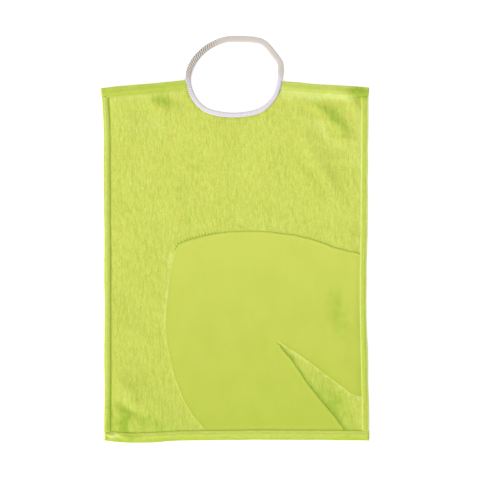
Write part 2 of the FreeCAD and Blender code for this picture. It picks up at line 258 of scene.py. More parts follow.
def relief(x, y):
    """Height of the cloth's underside above the table."""
    height = 0.35 * MM * (1 + noise(x, y, 46, 62, 3))
    height += 0.16 * MM * (1 + noise(x, y, 17, 23, 4))
    # The folds wander, and are fuller in some places than in others.
    u = x + 5.5 * MM * noise(x, y, 21, 24, 5)
    v = y + 5.5 * MM * noise(x, y, 22, 20, 6)
    full = 1 + 0.5 * noise(x, y, 15, 17, 7)
    for line, wide, tall in FOLD_LINES:
        away, along = distance_to(line, u, v)
        length = distance_along(line)[-1]
        fade = step_up(along, -0.1 * length, 0.25 * length)
        fade = fade * step_up(length - along, -0.1 * length, 0.3 * length)
        bulge = bell(away, wide) - math.exp(-6.25)  # nothing from 2.5 widths on
        height = height + tall * full * np.maximum(bulge, 0) * fade
    height = np.maximum(height, 0.05 * MM)
    # The outer edges lie down on the table.
    edge = np.minimum(HALF_WIDTH - np.abs(x), y - BOTTOM_EDGE)
    return height * (0.35 + 0.65 * step_up(edge, 0, 14 * MM))


# Patches where the pile is stroked open, and deeper in colour, or flat, and paler (below zero), laid where
# folds and hems fall into shade or light, so partly the pile's nap and partly painted shade and painted
# highlight: (x, y, half length, half width, turn in degrees, amount).
STROKE_AND_PAINTED_LIGHT_PATCHES = (
    (140, 166, 9, 8, 0, 1.4),
    (113, 139, 17, 9, -38, 0.55),
    (122, 117, 12, 5, -10, 0.5),
    (98, 121, 26, 6, -42, -0.28),
    (134, 106, 7, 30, 0, -0.2),
    (96, 160, 50, 5, -4, -0.3),
    (-76, 155, 13, 7, -20, 0.62),
    (-100, 128, 26, 9, 10, -0.15),
    (-127, -204, 8, 13, 8, 0.85),
    (-141, -194, 2.4, 22, 0, 0.7),
    (-96, -208, 34, 10, -3, 0.3),
    (-128, -214, 14, 5, -20, 0.4),
    (116, -82, 13, 34, 8, 0.42),
    (-72, -20, 8, 2.2, 72, -0.45),
    (112, -183, 34, 10, -52, 0.42),
    (-137, -221.5, 7, 2.6, -28, -0.6),
    (-117, -222, 9, 4, 0, 0.45),
)


def stroke_and_painted_light(x, y):
    """How the pile is stroked, from -1 for flat to 1 for open, partly its nap and partly painted highlight
    and painted shade. The patches have ragged edges.
    """
    u = x + 4 * MM * noise(x, y, 11, 13, 8)
    v = y + 4 * MM * noise(x, y, 12, 10, 9)
    total = np.zeros(np.shape(x))
    for middle_x, middle_y, long, wide, turn, amount in STROKE_AND_PAINTED_LIGHT_PATCHES:
        c, s = math.cos(math.radians(turn)), math.sin(math.radians(turn))
        right, up = u / MM - middle_x, v / MM - middle_y
        away = ((right * c + up * s) / long) ** 2 + ((up * c - right * s) / wide) ** 2
        total += amount * np.exp(-(away**1.3))
    return total * (1 + 0.5 * noise(x, y, 3.2, 4.5, 10))


def lay(points):
    """Points made in the flat, moved to where the laid cloth has them."""
    x, y, z = points.T
    across = np.clip((x + HALF_WIDTH) / (2 * HALF_WIDTH), 0, 1)
    up = np.clip((y - BOTTOM_EDGE) / (NECK_Y - BOTTOM_EDGE), 0, 1)
    shift_x = LEFT_SHIFT(y) * (1 - across) + RIGHT_SHIFT(y) * across
    shift_y = BOTTOM_SHIFT(x) * (1 - up) + TOP_SHIFT(x) * up
    return np.stack([x + shift_x, y + shift_y, z + relief(x, y)], axis=1)


def top_line(x):
    """The top hem's inner edge, in the flat."""
    return TOP_CORNER_INNER + TOP_SLOPE * (HALF_WIDTH - np.abs(x))


# ------------------------------ meshes
def make_piece(name, points, faces, material, uv, body="cloth"):
    """A smooth-shaded mesh with a UV map in millimetres of cloth, riding on a body."""
    mesh = bpy.data.meshes.new(name)
    mesh.from_pydata(np.asarray(points).tolist(), [], faces)
    work = bmesh.new()
    work.from_mesh(mesh)
    bmesh.ops.recalc_face_normals(work, faces=work.faces)
    work.to_mesh(mesh)
    work.free()
    mesh.polygons.foreach_set("use_smooth", [True] * len(mesh.polygons))
    layer = mesh.uv_layers.new(name="cloth")
    corners = np.empty(len(mesh.loops), np.int32)
    mesh.loops.foreach_get("vertex_index", corners)
    layer.data.foreach_set("uv", (np.asarray(uv)[corners] / MM).astype(np.float32).ravel())
    mesh.materials.append(material)
    piece = placed(name, mesh)
    if body:
        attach(piece, body)
    return piece


def placed(name, data, location=(0, 0, 0)):
    """An object of the scene."""
    made = bpy.data.objects.new(name, data)
    made.location = location
    bpy.context.scene.collection.objects.link(made)
    return made


def store(piece, name, values):
    """A value at each point of a piece, for its material."""
    layer = piece.data.attributes.new(name, "FLOAT", "POINT")
    layer.data.foreach_set("value", values.astype(np.float32))


def filled(rim, inner):
    """Points and faces of a flat mesh inside a rim, through inner points."""
    points = [Vector(p) for p in np.vstack([rim, inner]).tolist()]
    found = geometry.delaunay_2d_cdt(points, [], [list(range(len(rim)))], 1, 1e-9)
    return np.array([tuple(v) for v in found[0]]), [tuple(face) for face in found[2]]


def tube_faces(rings, around, closed=False, caps=True):
    """Faces of a tube of rings, each ring having the same number of points."""
    faces = []
    last = rings if closed else rings - 1
    for i in range(last):
        a, b = i * around, (i + 1) % rings * around
        for j in range(around):
            k = (j + 1) % around
            faces.append((a + j, a + k, b + k, b + j))
    if caps and not closed:
        faces.append(tuple(range(around - 1, -1, -1)))
        faces.append(tuple(range((rings - 1) * around, rings * around)))
    return faces


# ------------------------------ materials
LIGHT_SHARE = 0.625  # the studio light is strong enough to whiten the table


class Shader:
    """A node material with one Principled surface, and short ways to add its nodes."""

    def __init__(self, name):
        self.material = bpy.data.materials.new(name)
        self.material.use_nodes = True
        self.tree = self.material.node_tree
        self.surface = self.tree.nodes["Principled BSDF"]
        self.cloth = self.add("ShaderNodeUVMap")
        self.cloth.uv_map = "cloth"

    def add(self, kind, **inputs):
        node = self.tree.nodes.new(kind)
        for name, value in inputs.items():
            self.put(node, name.replace("_", " "), value)
        return node

    def put(self, node, key, value):
        self.fill(node.inputs[key], value)

    def fill(self, socket, value):
        if isinstance(value, bpy.types.NodeSocket):
            self.tree.links.new(value, socket)
        else:
            socket.default_value = value

    def stretched(self, wide, long):
        """Cloth coordinates counted in cells of wide by long millimetres."""
        node = self.add("ShaderNodeMapping", Vector=self.cloth.outputs["UV"])
        node.inputs["Scale"].default_value = (1 / wide, 1 / long, 1)
        return node.outputs["Vector"]

    def noise(self, wide, long, detail=2.0, roughness=0.5):
        node = self.add("ShaderNodeTexNoise", Vector=self.stretched(wide, long))
        node.noise_dimensions = "2D"
        self.put(node, "Scale", 1.0)
        self.put(node, "Detail", detail)
        self.put(node, "Roughness", roughness)
        return node.outputs["Fac"]

    def cells(self, wide, long):
        """0 at the middle of each loop of pile, 1 in the gaps between them."""
        node = self.add("ShaderNodeTexVoronoi", Vector=self.stretched(wide, long))
        node.voronoi_dimensions = "2D"
        self.put(node, "Scale", 1.0)
        return node.outputs["Distance"]

    def wave(self, wide, long, direction="X", distortion=0.0):
        """Threads or ribs, one to a cell, across X or Y."""
        node = self.add("ShaderNodeTexWave", Vector=self.stretched(wide, long))
        node.bands_direction = direction
        self.put(node, "Scale", math.pi / 10)
        self.put(node, "Distortion", distortion)
        return node.outputs["Fac"]

    def math(self, operation, first, second=0.0):
        node = self.add("ShaderNodeMath")
        node.operation = operation
        self.put(node, 0, first)
        self.put(node, 1, second)
        return node.outputs["Value"]

    def spread(self, value, low_in, high_in, low_out=0.0, high_out=1.0):
        node = self.add("ShaderNodeMapRange", Value=value)
        names = ("From Min", "From Max", "To Min", "To Max")
        for name, number in zip(names, (low_in, high_in, low_out, high_out)):
            self.put(node, name, number)
        return node.outputs["Result"]

    def mix(self, share, first, second):
        node = self.add("ShaderNodeMix")
        node.data_type = "RGBA"
        for name, value in (("Factor_Float", share), ("A_Color", first), ("B_Color", second)):
            self.fill(next(s for s in node.inputs if s.identifier == name), value)
        return next(s for s in node.outputs if s.identifier == "Result_Color")

    def attribute(self, name):
        node = self.add("ShaderNodeAttribute")
        node.attribute_name = name
        return node.outputs["Fac"]

    def lean(self, colour, deep, start=0.0):
        """Paints shade into a colour where the stored value is above start, and paints a highlight below
        zero.
        """
        painted_light_and_nap = self.attribute("painted_light_and_nap")
        colour = self.mix(self.spread(painted_light_and_nap, start, 1.0), colour, deep)
        return self.mix(self.math("MULTIPLY", painted_light_and_nap, -1.0), colour, PAINTED_HIGHLIGHT_PILE)

    def bump(self, height, depth, strength):
        node = self.add("ShaderNodeBump", Height=height, Strength=strength, Distance=depth)
        return node.outputs["Normal"]

    def finish(self, colour, normal, roughness, sheen):
        looks = {"Base Color": colour, "Normal": normal, "Roughness": roughness}
        looks |= {"Specular IOR Level": 0.2, "Sheen Weight": sheen, "Sheen Roughness": 0.6}
        looks |= {"Subsurface Weight": 0.3, "Subsurface Scale": 1.2 * MM}
        for name, value in looks.items():
            self.put(self.surface, name, value)
        return self.material


def linear(red, green, blue):
    """A colour given as 0 to 255 display values, as the shader's linear one."""
    parts = [c / 255 for c in (red, green, blue)]
    return (*(p / 12.92 if p <= 0.04045 else ((p + 0.055) / 1.055) ** 2.4 for p in parts), 1.0)


def lit(red, green, blue):
    """The base colour of cloth that shows as these display values in this light."""
    return (*(LIGHT_SHARE * part for part in linear(red, green, blue)[:3]), 1.0)


def terry_material(name, pile, light, dark):
    """Looped towelling. pile is how far its loops stand, from pressed to full."""
    s = Shader(name)
    loops = s.cells(1.25, 2.3)
    streaks = s.noise(2.3, 8.5, 3.0, 0.6)
    tufts = s.noise(3.4, 7.5, 2.0)
    broad = s.noise(38, 46, 2.0)
    # Painted shade in the gaps between the loops; the streaks, tufts and broad mottle are the pile's own
    # tone.
    shade = s.math("MULTIPLY", s.spread(loops, 0.15, 0.85), 0.4 * pile)
    shade = s.math("ADD", shade, s.spread(streaks, 0.35, 0.68, 0.05, 0.38))
    shade = s.math("ADD", shade, s.spread(tufts, 0.35, 0.7, -0.08, 0.18))
    shade = s.math("ADD", shade, s.spread(broad, 0.35, 0.65, -0.06, 0.08))
    # Painted shade and painted highlight from the stored value, partly the nap of stroked pile.
    colour = s.lean(s.mix(shade, light, dark), PAINTED_SHADE_PILE)
    rise = s.math("SUBTRACT", s.spread(streaks, 0.3, 0.7, 0.0, 0.7), s.spread(loops, 0.0, 0.9))
    normal = s.bump(rise, 0.4 * MM, 0.45 * pile)
    return s.finish(colour, normal, s.spread(loops, 0.1, 0.8, 0.86, 1.0), 0.12)


def smooth_material(name, upper, lower):
    """Close plain weave whose colour deepens towards the bottom of the cloth."""
    s = Shader(name)
    split = s.add("ShaderNodeSeparateXYZ", Vector=s.cloth.outputs["UV"])
    height = s.spread(split.outputs["Y"], INNER_BOTTOM / MM, 0.0)
    mottle = s.noise(26, 34, 3.0)
    share = s.math("ADD", height, s.spread(mottle, 0.3, 0.7, -0.14, 0.14))
    colour = s.mix(share, lower, upper)
    warp = s.wave(0.62, 1.0, "X", 0.6)
    weft = s.wave(1.0, 0.7, "Y", 0.6)
    weave = s.math("MULTIPLY", warp, weft)
    slub = s.noise(1.6, 7.0, 3.0)
    # Painted shade where the stored value is above 0.2, and painted highlight below zero.
    colour = s.lean(colour, lit(160, 184, 52), start=0.2)
    threads = s.mix(s.spread(weave, 0.0, 0.6, 0.12, 0.0), colour, lit(158, 174, 60))
    normal = s.bump(s.math("ADD", weave, s.math("MULTIPLY", slub, 0.9)), 0.14 * MM, 0.5)
    return s.finish(threads, normal, s.spread(slub, 0.3, 0.7, 0.8, 0.92), 0.08)


def rib_material(name, light, shadow, warm):
    """White rib knit, with shade painted between the ribs, and warmer round the free half of the ring."""
    s = Shader(name)
    ribs = s.wave(RIB_PITCH / MM, 1.0, "X", 0.15)
    stitches = s.wave(1.0, 0.95, "Y", 1.2)
    base = s.mix(s.attribute("free_half"), light, warm)
    # Painted shade between the ribs, as strong as the stored value says.
    gaps = s.math("MULTIPLY", s.spread(ribs, 0.0, 0.6, 1.0, 0.0), s.attribute("rib_gap_shade"))
    colour = s.mix(gaps, base, shadow)
    fuzz = s.noise(0.5, 0.9, 3.0)
    rise = s.math("ADD", s.math("MULTIPLY", stitches, 0.5), fuzz)
    normal = s.bump(rise, 0.16 * MM, 0.6)
    return s.finish(colour, normal, s.spread(fuzz, 0.3, 0.7, 0.82, 0.95), 0.1)


def thread_material(name, light, dark):
    """Twisted sewing thread."""
    s = Shader(name)
    twist = s.wave(0.45, 0.9, "DIAGONAL", 0.4)
    fibre = s.noise(0.3, 1.6, 2.0)
    colour = s.mix(s.spread(twist, 0.1, 0.8, 0.0, 0.8), dark, light)
    normal = s.bump(s.math("ADD", twist, s.math("MULTIPLY", fibre, 0.4)), 0.1 * MM, 0.7)
    return s.finish(colour, normal, s.spread(fibre, 0.3, 0.7, 0.5, 0.65), 0.05)


RIB_PITCH = 2.7 * MM
PAINTED_SHADE_PILE = lit(158, 186, 48)  # painted shade, partly the deeper colour of pile stroked open: the loops' feet, which show where the loops lean apart
PAINTED_HIGHLIGHT_PILE = lit(229, 241, 147)  # painted highlight, partly the paler colour of loops pressed flat
TERRY = terry_material("terry", 1.0, lit(214, 221, 103), lit(181, 194, 68))
HEM_CLOTH = terry_material("pressed_terry", 0.8, lit(202, 214, 88), lit(178, 194, 60))
SMOOTH = smooth_material("smooth_cloth", lit(206, 214, 90), lit(188, 203, 70))
RIB = rib_material("rib_knit", lit(227, 221, 230), lit(158, 150, 143), lit(212, 203, 195))
THREAD_LIME = thread_material("lime_thread", lit(228, 234, 124), lit(198, 209, 80))
ELASTIC = thread_material("elastic_braid", lit(226, 222, 214), lit(170, 166, 158))


# ------------------------------ the smooth field's outline
TOP_EDGE = (
    *((143.5, -17.4), (113, -9.4), (88, -0.2), (60, 5.6)),
    *((23, 8.7), (-20, 6.2), (-50, -0.9), (-62, -5.2)),
)
LEFT_EDGE = (
    *((-66.6, -8.8), (-72.6, -24), (-78.4, -57), (-81.4, -95)),
    *((-79.2, -124), (-69, -166), (-54, -197), (-36, -219.5)),
)
WEDGE_LOWER = ((124.5, -219.5), (109, -198.4), (97, -183.6), (80.4, -162.6), (67.4, -142.6), (50.4, -120.3))
WEDGE_UPPER = ((50.4, -120.3), (70, -132.8), (92, -149.4), (121, -171.4), (132, -179), (143.5, -182.6))
EDGE_STEP = 0.78 * MM
STITCH_PITCH = 3.1 * MM
FIELD_SEAM = 1.2 * MM  # from the field's edge to its seam


def ragged(line, amount, seed):
    """A cut edge with the small waviness of cloth, square to its own direction."""
    along = distance_along(line)
    wave = waver(along, 7, seed) + 0.6 * waver(along, 2.6, seed + 1)
    fade = np.minimum(step_up(along, 0, 4 * MM), step_up(along[-1] - along, 0, 4 * MM))
    return line - sideways(line) * (amount * wave * fade)[:, None]


def field_edges():
    edges = (TOP_EDGE + LEFT_EDGE, 0.35, 11), (WEDGE_LOWER, 0.3, 12), (WEDGE_UPPER, 0.3, 13)
    for points, amount, seed in edges:
        yield ragged(smooth_path(np.array(points) * MM, EDGE_STEP), amount * MM, seed)


ARCS, WEDGE_LOW_SIDE, WEDGE_HIGH_SIDE = FREE_EDGES = tuple(field_edges())
TUCK = 1.0 * MM  # how far panel and field reach in under the hems
FIELD_WALL = resample(np.array([WEDGE_HIGH_SIDE[-1], ARCS[0]]), EDGE_STEP)
FIELD_FLOOR = resample(np.array([ARCS[-1], WEDGE_LOW_SIDE[0]]), EDGE_STEP)
OUTLINE = np.vstack(
    [ARCS, FIELD_FLOOR[1:-1], WEDGE_LOW_SIDE, WEDGE_HIGH_SIDE[1:], FIELD_WALL[1:-1]]
)


def free_edge_distance(x, y):
    """Distance to the field's sewn edges, its hemmed sides left out, and the place along them."""
    away, along = distance_to(FREE_EDGES[0], x, y)
    for edge in FREE_EDGES[1:]:
        other, other_along = distance_to(edge, x, y)
        along = np.where(other < away, other_along, along)
        away = np.minimum(away, other)
    return away, along


def near_field(x, y):
    """Points close enough to the smooth field for it to change them, or under it."""
    return (x > -95 * MM) & (y < 20 * MM)


def beside_field(y):
    """0 along the field's top edge to 1 along its left one."""
    return step_up(-y, 8 * MM, 18 * MM)


def tufted(x, y, along):
    """0 to 1: the gaps between the tufts at the left end of the field's top edge."""
    gaps = np.abs(np.cos(math.pi * along / (1.15 * STITCH_PITCH))) ** 4
    return gaps * step_up(-x, 5 * MM, 25 * MM) * (1 - beside_field(y))


def edge_painted_light(x, y, on_field):
    """Painted light at the field's sewn edges: painted shade against its top edge, in the gaps between the
    tufts at its left end and in the fold below the wedge, and painted highlight along its left edge and
    above the wedge."""
    lean = np.zeros(np.shape(x))
    near = near_field(x, y)
    x, y = x[near], y[near]
    arc, along = distance_to(ARCS, x, y)
    low, _ = distance_to(WEDGE_LOW_SIDE, x, y)
    high, _ = distance_to(WEDGE_HIGH_SIDE, x, y)
    side = beside_field(y) * (x < 0)
    broken = 1 + 0.6 * noise(x, y, 4, 3.4, 14)
    value = -0.42 * side * broken * bell(arc, 1.5)
    value -= 0.5 * broken * bell(high, 1.6)
    # Painted shade beside the top edge, in the tufts' gaps and below the wedge; the field itself gets only
    # the painted highlight.
    if not on_field:
        value += 0.3 * (1 - side) * bell(arc, 1.3)
        value += 1.3 * tufted(x, y, along) * bell(arc, 1.9)
        value += 0.65 * broken * bell(low, 2.9)
    lean[near] = value
    return lean


def hem_painted_light(x, y):
    """The same beside the hems: painted shade along the left and bottom ones, and painted highlight along
    the others.
    """
    left = 0.45 * bell(x + INNER_X, 1.8)
    right = -0.42 * bell(INNER_X - x, 3.0)
    bottom = 0.4 * bell(y - INNER_BOTTOM, 1.6)
    flat = 0.28 + 0.14 * step_up(x, 20 * MM, 70 * MM)
    return left + right + bottom - flat * bell(top_line(x) - y - MM, 3.5)


# ------------------------------ towelling panel
def neck_ratio(x, y, offset):
    """Under 1 inside the oval that runs an offset outside the neckband's centre line."""
    return np.hypot(x / (NECK_MAJOR + offset), (y - NECK_Y) / (NECK_MINOR + offset))


def terry_height(x, y):
    """The front of the terry: rows of pile, pressed down at seams and under the smooth field."""
    pile = 0.13 * noise(x, y, 1.9, 6.5, 21) + 0.08 * noise(x, y, 2.4, 2.6, 22)
    pile += 0.15 * noise(x, y, 3.7, 10, 23) + 0.10 * noise(x, y, 8, 17, 24)
    near = near_field(x, y)
    away, along = np.ones((2, *np.shape(x)))
    away[near], along[near] = free_edge_distance(x[near], y[near])
    covered = inside(OUTLINE, x, y)
    pile *= step_up(np.where(covered, 0, away), 0, 2.5 * MM)
    height = CLOTH_TOP + MM * (0.15 + pile)
    height -= 1.0 * MM * tufted(x, y, along) * bell(away, 1.8)
    to_hem = np.minimum(INNER_X - np.abs(x), np.minimum(y - INNER_BOTTOM, top_line(x) - y))
    height -= 0.2 * MM * (1 - step_up(to_hem, 0, 3 * MM))
    outside_neck = (neck_ratio(x, y, 0) - 1) * NECK_MINOR
    height -= 0.7 * MM * (1 - step_up(outside_neck, 2 * MM, 6.5 * MM))
    return height - np.where(covered, 0.8 * MM * step_up(away, 0.2 * MM, 1.8 * MM), 0)


def towelling_panel():
    """A fine grid for the front of the terry, cut at the neck, over a plain underside. The cut
    edge runs inside the neckband."""
    columns, rows = 320, 262
    across = np.linspace(-INNER_X - TUCK, INNER_X + TUCK, columns)
    share = np.linspace(0, 1, rows)
    x = np.repeat(across[None], rows, axis=0)
    start, end = INNER_BOTTOM - TUCK, top_line(across)[None] + TUCK
    y = start + share[:, None] * (end - start)
    cut = 0.9 * MM
    number = np.arange(rows * columns).reshape(rows, columns)
    middle_x = (x[1:, 1:] + x[:-1, :-1]) / 2
    middle_y = (y[1:, 1:] + y[:-1, :-1]) / 2
    kept = neck_ratio(middle_x, middle_y, cut) > 1
    quads = np.stack([number[:-1, :-1], number[:-1, 1:], number[1:, 1:], number[1:, :-1]], axis=2)[kept]
    used, quads = np.unique(quads, return_inverse=True)
    quads = quads.reshape(-1, 4)
    x, y = x.ravel()[used], y.ravel()[used]
    rim = boundary_loop(quads)
    # Rim points beside the opening move onto its oval.
    by_neck = rim[neck_ratio(x[rim], y[rim], cut) < 1.06]
    pull = neck_ratio(x[by_neck], y[by_neck], cut)
    x[by_neck] = x[by_neck] / pull
    y[by_neck] = NECK_Y + (y[by_neck] - NECK_Y) / pull
    top = np.stack([x, y, terry_height(x, y)], axis=1)
    under, under_faces = underside(x[rim], y[rim])
    count = len(top)
    faces = quads.tolist()
    for i in range(len(rim)):
        j = (i + 1) % len(rim)
        faces.append((int(rim[j]), int(rim[i]), count + i, count + j))
    faces += [tuple(count + v for v in face) for face in under_faces]
    flat = np.vstack([top, under])
    piece = make_piece("terry_panel", lay(flat), faces, TERRY, flat[:, :2])
    x, y = flat.T[:2]
    # Painted shade and painted highlight stored for the terry's material.
    add_painted_light_and_nap(piece, edge_painted_light(x, y, on_field=False) + hem_painted_light(x, y))
    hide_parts("towelling_panel")
    return piece


def add_painted_light_and_nap(piece, extra, gain=PAINTED_SLOPE_SHADE_GAIN):
    """Stores painted light, from -1 for painted highlight to 1 for painted shade: painted shade on slopes
    that fall to the upper right, away from the key light at the lower left, a little more towards the
    bottom of the cloth, the stroked patches, and the extra given. The underside has none of that."""
    count = len(piece.data.vertices)
    normals, places = np.empty(count * 3, np.float32), np.empty(count * 3, np.float32)
    piece.data.vertex_normals.foreach_get("vector", normals)
    piece.data.vertices.foreach_get("co", places)
    normals, (x, y) = normals.reshape(-1, 3), places.reshape(-1, 3).T[:2]
    # Painted shade: slopes that face the upper right, away from the key light, get darker.
    slope = (normals[:, 0] + normals[:, 1]) / math.sqrt(2)
    value = 0.16 * step_up(-y, -0.1, 0.23) + gain * np.maximum(slope, 0) + stroke_and_painted_light(x, y) + extra
    value *= step_up(normals[:, 2], -0.7, -0.2)
    store(piece, "painted_light_and_nap", np.clip(value, -1, 1))


def boundary_loop(quads):
    """The rim of a grid with one outer edge, as vertex numbers in the faces' own direction."""
    edges = np.vstack([quads[:, [k, (k + 1) % 4]] for k in range(4)])
    size = int(quads.max()) + 1
    forward, backward = edges[:, 0] * size + edges[:, 1], edges[:, 1] * size + edges[:, 0]
    rim = edges[~np.isin(forward, backward)]
    following = dict(rim.tolist())
    start = int(rim[0, 0])
    loop = [start]
    while following[loop[-1]] != start:
        loop.append(following[loop[-1]])
    return np.array(loop)


def underside(x, y):
    """Points and faces of a flat underside inside a rim, with sparse points of its own."""
    rim = np.stack([x, y], axis=1)
    pitch = 6 * MM
    gx, gy = np.meshgrid(np.arange(-0.144, 0.145, pitch), np.arange(-0.222, 0.185, pitch))
    gx, gy = gx.ravel(), gy.ravel()
    away, _ = distance_to(rim, gx, gy, closed=True)
    good = inside(rim, gx, gy) & (away > 3 * MM)
    flat, faces = filled(rim, np.stack([gx[good], gy[good]], axis=1))
    above_table = np.full(len(flat), 0.25 * MM)
    return np.column_stack([flat, above_table]), [tuple(reversed(face)) for face in faces]


terry_panel = towelling_panel()


# ------------------------------ smooth field
FIELD_FACE = CLOTH_TOP + 0.7 * (FIELD_TOP - CLOTH_TOP)  # pressed a little into the pile


def field_height(x, y):
    """The field's top: an edge pinched by its stitches, then flat cloth with faint waves."""
    edge, along = free_edge_distance(x, y)
    height = CLOTH_TOP + (FIELD_FACE - CLOTH_TOP) * step_up(edge, -0.3 * MM, 1.9 * MM)
    height += 0.32 * MM * bell(edge - 1.8 * MM, 1.0)
    pinch = np.abs(np.cos(math.pi * along / STITCH_PITCH)) ** 3
    height -= 0.3 * MM * pinch * bell(edge - FIELD_SEAM, 0.7)
    height += 0.07 * MM * noise(x, y, 9, 12, 31)
    height += 0.14 * MM * noise(x, y, 2.6, 2.6, 32) * np.exp(-edge / (3.5 * MM))
    to_hem = np.minimum(INNER_X - np.abs(x), y - INNER_BOTTOM)
    return height - 0.5 * MM * (1 - step_up(to_hem, 0, 4 * MM))


def smooth_field():
    rim = OUTLINE
    rings = []
    for edge in FREE_EDGES:
        side = sideways(edge)
        for inward in (0.3, 0.65, 1.1, 1.6, 2.1, 2.8):
            ring = edge + side * inward * MM
            away, _ = free_edge_distance(ring[:, 0], ring[:, 1])
            good = inside(rim, ring[:, 0], ring[:, 1]) & (away > 0.93 * inward * MM)
            rings.append(ring[good])
    pitch = 2.6 * MM
    gx, gy = np.meshgrid(np.arange(-0.083, 0.1445, pitch), np.arange(-0.2195, 0.010, pitch * 0.87))
    gx[::2] += pitch / 2
    gx, gy = gx.ravel(), gy.ravel()
    good = inside(rim, gx, gy)
    gx, gy = gx[good], gy[good]
    far = (gx < INNER_X + 0.4 * TUCK) & (gy > INNER_BOTTOM - 0.4 * TUCK)
    far &= free_edge_distance(gx, gy)[0] > 3.6 * MM
    flat, faces = filled(rim, np.vstack([*rings, np.stack([gx[far], gy[far]], axis=1)]))
    x, y = flat.T[:2]
    top = np.column_stack([flat, field_height(x, y)])
    under = np.column_stack([flat, np.full(len(flat), CLOTH_TOP - 0.45 * MM)])
    count = len(flat)
    both = faces + [tuple(count + v for v in reversed(face)) for face in faces]
    for a, b in open_edges(faces):
        both.append((b, a, count + a, count + b))
    points = np.vstack([top, under])
    piece = make_piece("smooth_field_cloth", lay(points), both, SMOOTH, points[:, :2])
    piece.data.set_sharp_from_angle(angle=math.radians(55))
    x, y = points.T[:2]
    # Painted shade and painted highlight stored for the field's material.
    add_painted_light_and_nap(piece, edge_painted_light(x, y, on_field=True) + hem_painted_light(x, y))
    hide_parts("smooth_field")
    return piece


def open_edges(faces):
    """Edges that only one face has, in that face's direction."""
    seen = {}
    for face in faces:
        for a, b in zip(face, face[1:] + face[:1]):
            if (b, a) in seen:
                del seen[b, a]
            else:
                seen[a, b] = True
    return list(seen)


smooth_cloth = smooth_field()


# ------------------------------ hems
SEAM_INSET = 2.1 * MM  # from a hem's inner edge to its seam


def hem_section(wide):
    """A turned hem in section, as distance from the inner edge and height. Its seam presses it
    down, it is fullest beyond the seam, and from there it slopes to the fold outside."""
    over = [
        (across * MM, CLOTH_TOP + up * MM)
        for across, up in (
            *((-0.6, -0.9), (-0.5, -0.1), (-0.05, 0.45), (0.45, 0.9)),
            *((0.95, 1.2), (SEAM_INSET / MM, 1.05), (2.9, 1.5), (3.7, 1.95)),
        )
    ]
    crest = HEM_TOP - 0.35 * MM
    slope = np.linspace(4.8 * MM, wide - 1.7 * MM, max(3, round((wide - 6.5 * MM) / (1.1 * MM))))
    over += [(s, crest - 1.3 * MM * (s - slope[0]) / (wide - slope[0])) for s in slope]
    fold = over[-1][1] / 2
    for angle in np.radians((62, 35, 5, -25, -55)):
        over.append((wide - 1.5 * MM + 1.5 * MM * math.cos(angle), fold + fold * math.sin(angle)))
    under = [(wide - 1.2 * MM, 0.12 * MM), (wide * 0.5, 0.05 * MM), (0.4 * MM, 0.05 * MM)]
    return np.array(over + under)


# Painted shade (above zero) and painted highlight (below zero) across each hem, by the share of its width
# from the inner edge.
LEFT_HEM_PAINTED_LIGHT = ((0, 0.55), (0.1, 0.3), (0.25, -0.1), (0.4, -0.45), (0.6, -0.3), (0.8, 0.0), (1, 0.1))
RIGHT_HEM_PAINTED_LIGHT = (
    *((0, -0.45), (0.12, -0.25), (0.25, 0.12), (0.45, 0.25)),
    *((0.6, 0.2), (0.72, -0.2), (0.85, -1), (1, -1)),
)
BOTTOM_HEM_PAINTED_LIGHT = ((0, 0.1), (0.06, -0.2), (0.14, -0.5), (0.4, -0.25), (0.65, 0), (0.85, 0.2), (1, 0.5))
TOP_LEFT_HEM_PAINTED_LIGHT = ((0, 0.2), (0.15, 0.34), (0.3, 0.26), (0.8, 0.12), (1, -0.1))
TOP_RIGHT_HEM_PAINTED_LIGHT = ((0, -0.25), (0.2, -0.22), (0.35, -0.1), (0.8, -0.25), (1, -0.4))


